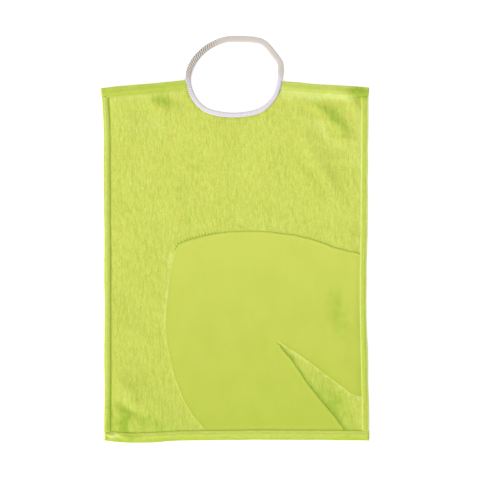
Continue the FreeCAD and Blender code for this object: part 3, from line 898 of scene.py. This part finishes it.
def hem(name, node, start, end, inward, wide, seed, lean, corner=0.0):
    """A hem from start to end along its inner edge. inward points from the hem to the panel."""
    start, end, inward = (np.array(v, float) for v in (start, end, inward))
    length = np.linalg.norm(end - start)
    count = int(length / (0.78 * MM))
    share = np.linspace(0, 1, count)
    section = hem_section(wide)
    around = len(section)
    along = share * length
    line = start + share[:, None] * (end - start)
    s, h = section[:, 0][None], section[:, 1][None]
    # The seam pulls small puckers into the cloth, and the fold outside wavers.
    pucker = 0.5 + 0.5 * np.cos(2 * math.pi * along / STITCH_PITCH)
    near_seam = bell(s - SEAM_INSET, 1.5)
    top = (section[:, 1] > 1.0 * MM)[None]
    rise = -0.16 * MM * pucker[:, None] * near_seam * top
    a = np.repeat(along[:, None], around, axis=1)
    swell = noise(a, s + 0 * a, 13, 5, seed) + 0.6 * noise(a, s + 0 * a, 5, 3, seed + 1)
    rise = rise + 0.3 * MM * swell * (s / wide) * top
    pile = noise(a, s + 0 * a, 2.2, 1.6, seed + 2)
    rise = rise + 0.09 * MM * pile * top
    out = s + 0.35 * MM * waver(a, 19, seed + 3) * step_up(s, 0.4 * wide, wide)
    # It is thicker where the smooth field's edge is caught inside it.
    caught = inside(OUTLINE, *(line + inward * 0.5 * MM).T).astype(float)
    caught = np.convolve(np.pad(caught, 6, "edge"), np.hanning(15)[1:-1] / 7, "valid")
    rise = rise + 0.35 * MM * caught[:, None] * top * (1 - step_up(s, 0.6 * wide, wide))
    # A crease runs near the outer fold.
    rise = rise - 0.2 * MM * bell(s - wide + 2.9 * MM, 0.7) * top
    # At its left corner the bottom hem is folded over on a slant.
    slant = bell(s - 0.38 * (a - 2 * MM), 1.7)
    rise = rise - corner * MM * slant * (1 - step_up(a, 16 * MM, 28 * MM)) * top
    # Folded ends close in a soft round.
    for gap in (along, length - along):
        close = np.sqrt(np.clip(1 - (1 - np.clip(gap / (1.4 * MM), 0, 1)) ** 2, 0.02, 1))
        middle = HEM_TOP * 0.4
        h = middle + (h - middle) * close[:, None]
    flat = beside(line, -inward, out, np.maximum(h + rise, 0.05 * MM)).reshape(-1, 3)
    faces = tube_faces(count, around)
    # The uv's second axis runs along the hem.
    uv = np.stack([s + 0 * a, a + 0.05 * seed], axis=2).reshape(-1, 2)
    points = lay(flat)
    points[:, 2] = np.maximum(points[:, 2], 0.02 * MM)
    piece = make_piece(name, points, faces, HEM_CLOTH, uv)
    # Painted shade and painted highlight across the hem, from its table, and a little painted shade on
    # slopes facing away from the key light.
    add_painted_light_and_nap(piece, np.interp(s / wide + 0 * a, *zip(*lean)).ravel(), 0.2)
    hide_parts(node)
    return piece


def neck_side_x(y):
    """X of the neckband's outer edge at a height, on the right."""
    share = (y - NECK_Y) / (NECK_MINOR + BAND_WIDE / 2)
    return (NECK_MAJOR + BAND_WIDE / 2) * math.sqrt(max(0.0, 1 - share**2))


def make_hems():
    pieces = []
    side_end = float(top_line(INNER_X)) + 1.5 * MM
    tilt = math.atan(TOP_SLOPE)
    neck_x = neck_side_x(TOP_CORNER_INNER + 14 * MM) - 2.2 * MM
    for side_name, side, side_painted_light, top_painted_light in (
        ("left", -1, LEFT_HEM_PAINTED_LIGHT, TOP_LEFT_HEM_PAINTED_LIGHT),
        ("right", 1, RIGHT_HEM_PAINTED_LIGHT, TOP_RIGHT_HEM_PAINTED_LIGHT),
    ):
        names = f"hem_side_{side_name}", f"side_hem_{side_name}"
        start, end = (side * INNER_X, INNER_BOTTOM - 1.5 * MM), (side * INNER_X, side_end)
        pieces.append(hem(*names, start, end, (-side, 0), SIDE_HEM, 40 + side, side_painted_light))
        names = f"hem_top_{side_name}", f"top_hem_{side_name}"
        start, end = ((side * x, float(top_line(x))) for x in (neck_x, HALF_WIDTH))
        inward = (-side * math.sin(tilt), -math.cos(tilt))
        pieces.append(hem(*names, start, end, inward, TOP_HEM, 50 + side, top_painted_light))
    start, end = (-HALF_WIDTH, INNER_BOTTOM), (HALF_WIDTH, INNER_BOTTOM)
    names = "hem_bottom", "bottom_hem"
    pieces.append(hem(*names, start, end, (0, 1), BOTTOM_HEM, 60, BOTTOM_HEM_PAINTED_LIGHT, corner=0.9))
    return pieces


hems = make_hems()


# ------------------------------ neckband
NECK_PATH = (
    *((50.6, 178.5), (51.6, 189), (51.2, 198.2), (46.6, 206), (33.5, 221.2)),
    *((22, 225.2), (4.5, 226.3), (-13, 225.0), (-30.5, 217.2), (-43.4, 205.8)),
    *((-50.8, 193.5), (-53.4, 180), (-51.0, 168.5), (-44.6, 156), (-32.5, 145.4)),
    *((-14, 140.6), (5, 139.9), (24, 143.2), (36, 150), (46.2, 163)),
)
RIB_STEPS = 8
AROUND = 32
CORD_SIDES = 12
# How far the ribs lean round the band, and how deep they are, which also sets the shade painted between
# them, by the turn about the ring's middle in degrees from +X: at the upper left they are pulled aslant and
# stand out.
RIB_LEAN = smooth_value([(-180, 1.6), (-90, 0.3), (0, -0.3), (90, 0.4), (125, 0.9), (155, 1.5), (180, 1.6)])
RIB_DEPTH = smooth_value(
    [(-180, 0.5), (-140, 0.14), (-90, 0.1), (0, 0.13), (90, 0.14), (113, 0.2), (130, 0.6), (180, 0.5)]
)


def band_section(angle):
    """Distance out from the middle line and height of the folded band, at an angle round its
    section, with a shallow valley along the top between its two folded halves."""
    wide, tall = BAND_WIDE / 2, BAND_TOP / 2
    c, s = np.cos(angle), np.sin(angle)
    power = 0.78
    across = wide * np.sign(c) * np.abs(c) ** power
    upward = tall * np.sign(s) * np.abs(s) ** power
    valley = 0.4 * MM * bell(across - 0.9 * MM, 0.8) * (s > 0)
    return across, upward - valley


def band_points():
    """Rings of points round the whole neckband, with a rib at every pitch."""
    path = smooth_path(np.array(NECK_PATH) * MM, RIB_PITCH / RIB_STEPS, closed=True)
    ribs = int(round(len(path) / RIB_STEPS))
    place = np.linspace(0, len(path), ribs * RIB_STEPS, endpoint=False)
    looped = np.vstack([path, path[:1]])
    path = np.stack([np.interp(place, np.arange(len(looped)), looped[:, k]) for k in (0, 1)], axis=1)
    way = np.roll(path, -4, axis=0) - np.roll(path, 4, axis=0)
    outward = np.stack([way[:, 1], -way[:, 0]], axis=1) / np.linalg.norm(way, axis=1)[:, None]
    outward *= np.sign((outward[:, 1] * (path[:, 1] - NECK_Y)).sum())
    count = len(path)
    along = np.arange(count) * RIB_PITCH / RIB_STEPS
    turn = full_turn(AROUND)
    across, upward = band_section(turn)
    rear = step_up(path[:, 1], NECK_Y - 6 * MM, NECK_Y + 6 * MM)
    facing = np.degrees(np.arctan2(path[:, 1] - NECK_Y, path[:, 0]))
    lean, depth = RIB_LEAN(facing)[:, None], RIB_DEPTH(facing)[:, None]
    phase = along[:, None] / RIB_PITCH + lean * across[None] / BAND_WIDE
    rib = np.abs(np.sin(math.pi * phase)) ** 0.7
    jitter = waver(phase, 1 / MM, 71)
    swell = depth * MM * (2 * rib - 1.4) + 0.06 * MM * jitter
    # The sewn half is rolled under the towelling's edge, so less of its width shows.
    narrow = 0.8 + 0.17 * rear + 0.03 * waver(along, 24, 72)
    reach = np.hypot(across, upward)
    a = across[None] * narrow[:, None] + across / reach * swell
    a -= (1 - rear)[:, None] * 0.6 * MM
    h = upward[None] + upward / reach * swell
    # The free half lies a little unevenly on the table.
    roll = 0.2 * rear * waver(along, 37, 73)
    c, s = np.cos(roll)[:, None], np.sin(roll)[:, None]
    a, h = a * c - h * s, a * s + h * c
    lift = 0.3 * MM * rear * (1 + waver(along, 30, 74))
    flat = beside(path, outward, a, BAND_TOP / 2 + h + lift[:, None])
    flat[..., 2] += 0.6 * (1 - rear)[:, None] * relief(flat[..., 0], flat[..., 1])
    flat[..., 2] = np.maximum(flat[..., 2], 0.03 * MM)
    uv = np.stack(np.broadcast_arrays(phase * RIB_PITCH, turn * 3 * MM), axis=2)
    # The second stored value sets how much shade is painted between the ribs.
    return path, flat, uv, {"free_half": rear, "rib_gap_shade": 2 * depth[:, 0]}


def two_stretches(path):
    """The ring's places in order along the back stretch, and along the front one with both sides."""
    back = path[:, 1] > BAND_SPLIT - 4 * MM
    first = int(np.flatnonzero(back & ~np.roll(back, 1))[0])
    order = (np.arange(len(path)) + first) % len(path)
    number = int(back.sum())
    return ("back", order[: number + 1]), ("front", np.append(order[number:], order[0]))


def join_stretch(piece, name, kind):
    """Bakes the stretch's place into its points and hides the model's parts of that kind which it stands
    for: the back part for the back stretch, and the front and both side parts for the front one."""
    if name == "back":
        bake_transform(piece)
        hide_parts(f"{kind}_back")
    else:
        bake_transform(piece)
        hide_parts(f"{kind}_front", f"{kind}_side_left", f"{kind}_side_right")


def band_pieces():
    path, rings, uv, shades = band_points()
    for name, chosen in two_stretches(path):
        points = rings[chosen].reshape(-1, 3)
        faces = tube_faces(len(chosen), AROUND, caps=False)
        piece = make_piece(f"rib_band_{name}", points, faces, RIB, uv[chosen].reshape(-1, 2), body=None)
        for shade_name, values in shades.items():
            store(piece, shade_name, np.repeat(values[chosen], AROUND))
        join_stretch(piece, name, "neckband")
    return path


neck_path = band_pieces()


def elastic_pieces():
    """The elastic cord inside the band, in the same two stretches."""
    radius = (high("elastic_front").z - low("elastic_front").z) / 2
    for name, chosen in two_stretches(neck_path):
        line = neck_path[np.append(chosen[:-1:6], chosen[-1])]
        turn = full_turn(CORD_SIDES)
        upward = BAND_TOP / 2 + radius * np.sin(turn)
        points = beside(line, -sideways(line), radius * np.cos(turn), upward).reshape(-1, 3)
        uv = np.stack(np.broadcast_arrays(distance_along(line)[:, None], turn * MM), axis=2)
        faces = tube_faces(len(line), CORD_SIDES)
        piece = make_piece(f"elastic_cord_{name}", points, faces, ELASTIC, uv.reshape(-1, 2), body=None)
        join_stretch(piece, name, "elastic")


elastic_pieces()


# ------------------------------ stitches
STITCH_LONG = 2.5 * MM
STITCH_SIDES = 6


def one_stitch(middle, way, height, seed):
    """Points of a short thread that rises out of the cloth and dives back in."""
    radius = 0.36 * MM
    share = np.array([-1, -0.92, -0.6, 0, 0.6, 0.92, 1])
    thick = radius * np.array([0.35, 0.75, 1, 1.05, 1, 0.75, 0.35])
    arch = 0.3 * MM * (1 - np.abs(share) ** 2.5) - 0.22 * MM
    side = np.array([way[1], -way[0]])
    turn = full_turn(STITCH_SIDES)
    centre = middle + way * (share[:, None] * STITCH_LONG / 2)
    upward = height + arch[:, None] + thick[:, None] * np.sin(turn)
    points = beside(centre, side, thick[:, None] * np.cos(turn), upward)
    along = share[:, None] * STITCH_LONG / 2 + seed * 7 * MM
    uv = np.stack(np.broadcast_arrays(along, turn * radius), axis=2)
    return points.reshape(-1, 3), uv.reshape(-1, 2)


def stitch_row(name, node, lines, height):
    """A row of stitches along flat lines, at one height."""
    points, uvs, faces = [], [], []
    base = tube_faces(7, STITCH_SIDES)
    rng = np.random.default_rng(len(name) * 97 + ord(name[-1]))
    for line in lines:
        even = resample(np.asarray(line, float), STITCH_PITCH)
        for middle, way in zip(even[:-1] + np.diff(even, axis=0) / 2, forwards(even)[:-1]):
            way = way + rng.normal(0, 0.035, 2)
            middle = middle + rng.normal(0, 0.05 * MM, 2)
            made, uv = one_stitch(middle, way / np.linalg.norm(way), height, rng.random())
            faces += [tuple(v + 7 * STITCH_SIDES * len(points) for v in face) for face in base]
            points.append(made)
            uvs.append(uv)
    piece = make_piece(name, lay(np.vstack(points)), faces, THREAD_LIME, np.vstack(uvs))
    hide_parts(node)
    return piece


def inside_edge(edge):
    """The seam inside one of the field's edges, as far as the hems."""
    line = edge + sideways(edge) * FIELD_SEAM
    return line[(line[:, 0] < INNER_X - MM) & (line[:, 1] > INNER_BOTTOM + MM)]


def make_seams():
    hem_groove = CLOTH_TOP + 1.12 * MM
    for side_name, side in (("left", -1), ("right", 1)):
        seam_x = side * (INNER_X + SEAM_INSET)
        line = [(seam_x, INNER_BOTTOM + 1 * MM), (seam_x, float(top_line(INNER_X)) - 1 * MM)]
        stitch_row(f"stitches_side_{side_name}", f"side_seam_{side_name}", [line], hem_groove)
        outer, neck = HALF_WIDTH - 3 * MM, neck_side_x(NECK_Y - 12 * MM) + 1.2 * MM
        line = [(side * v, float(top_line(v)) + SEAM_INSET) for v in (outer, neck)]
        stitch_row(f"stitches_top_{side_name}", f"top_seam_{side_name}", [line], hem_groove)
    seam_y = INNER_BOTTOM - SEAM_INSET
    line = [(-HALF_WIDTH + 3 * MM, seam_y), (HALF_WIDTH - 3 * MM, seam_y)]
    stitch_row("stitches_bottom", "bottom_seam", [line], hem_groove)
    arcs, *sides = (inside_edge(edge) for edge in FREE_EDGES)
    stitch_row("stitches_field", "field_seam", [arcs], FIELD_FACE)
    stitch_row("stitches_wedge", "wedge_seam", sides, FIELD_FACE)
    angle = np.radians(np.linspace(197, 343, 200))
    reach = BAND_WIDE / 2 + 1.7 * MM
    oval = np.stack(
        [(NECK_MAJOR + reach) * np.cos(angle), NECK_Y + (NECK_MINOR + reach) * np.sin(angle)], axis=1
    )
    stitch_row("stitches_neck", "neck_seam", [oval], CLOTH_TOP - 0.35 * MM)
    places = (HALF_WIDTH - 2.6 * MM) * np.array([-1, 1])
    tacks = [[(x, seam_y - 7.2 * MM), (x, seam_y - 0.8 * MM)] for x in places]
    stitch_row("stitches_tacks", "corner_tacks", tacks, HEM_TOP - 0.45 * MM)


make_seams()


CUT_SHARE = 0.36  # how much of the neck's oval is cut out of the panel
neck_cut = math.pi * NECK_MAJOR * NECK_MINOR * CUT_SHARE
panel_long = float(top_line(NECK_MAJOR)) - INNER_BOTTOM
panel_area = 2 * INNER_X * (float(top_line(INNER_X / 2)) - INNER_BOTTOM) - neck_cut


# ------------------------------ table, light and camera
def plain_floor():
    s = Shader("pale_floor")
    grain = s.noise(90, 90, 2.0)
    colour = s.mix(s.spread(grain, 0.3, 0.7), linear(250, 250, 250), linear(253, 253, 252))
    s.put(s.surface, "Base Color", colour)
    s.put(s.surface, "Roughness", 0.9)
    s.put(s.surface, "Specular IOR Level", 0.1)
    half = 3.0
    below = -0.1 * MM
    corners = [(-half, -half, below), (half, -half, below), (half, half, below), (-half, half, below)]
    corners = np.array(corners)
    floor = make_piece("floor", corners, [(0, 1, 2, 3)], s.material, corners[:, :2], body=None)


def area_light(name, place, size, power):
    data = bpy.data.lights.new(name, "AREA")
    data.shape = "DISK"
    data.size = size
    data.energy = power
    light = placed(name, data, place)
    light.rotation_euler = (-Vector(place)).to_track_quat("-Z", "Y").to_euler()


def studio():
    world = bpy.data.worlds.new("studio")
    world.use_nodes = True
    background = world.node_tree.nodes["Background"]
    background.inputs["Color"].default_value = (1, 1, 1, 1)
    background.inputs["Strength"].default_value = 1.0
    bpy.context.scene.world = world
    area_light("key", (-3.6, -3.1, 2.75), 1.7, 330)
    area_light("fill", (0.2, 0.9, 1.8), 1.2, 12)
    bpy.context.scene.view_settings.view_transform = "Standard"


def overhead_camera():
    """Straight down, with a long lens, as wide as the photograph is at the cloth."""
    wide, height, sensor = 0.5524, 2.2, 36.0
    data = bpy.data.cameras.new("camera")
    data.sensor_width = sensor
    data.lens = sensor * height / wide
    data.clip_end = 20
    bpy.context.scene.camera = placed("camera", data, (10.2 * MM, -5.4 * MM, height))


plain_floor()
studio()
overhead_camera()

bpy.context.view_layer.update()
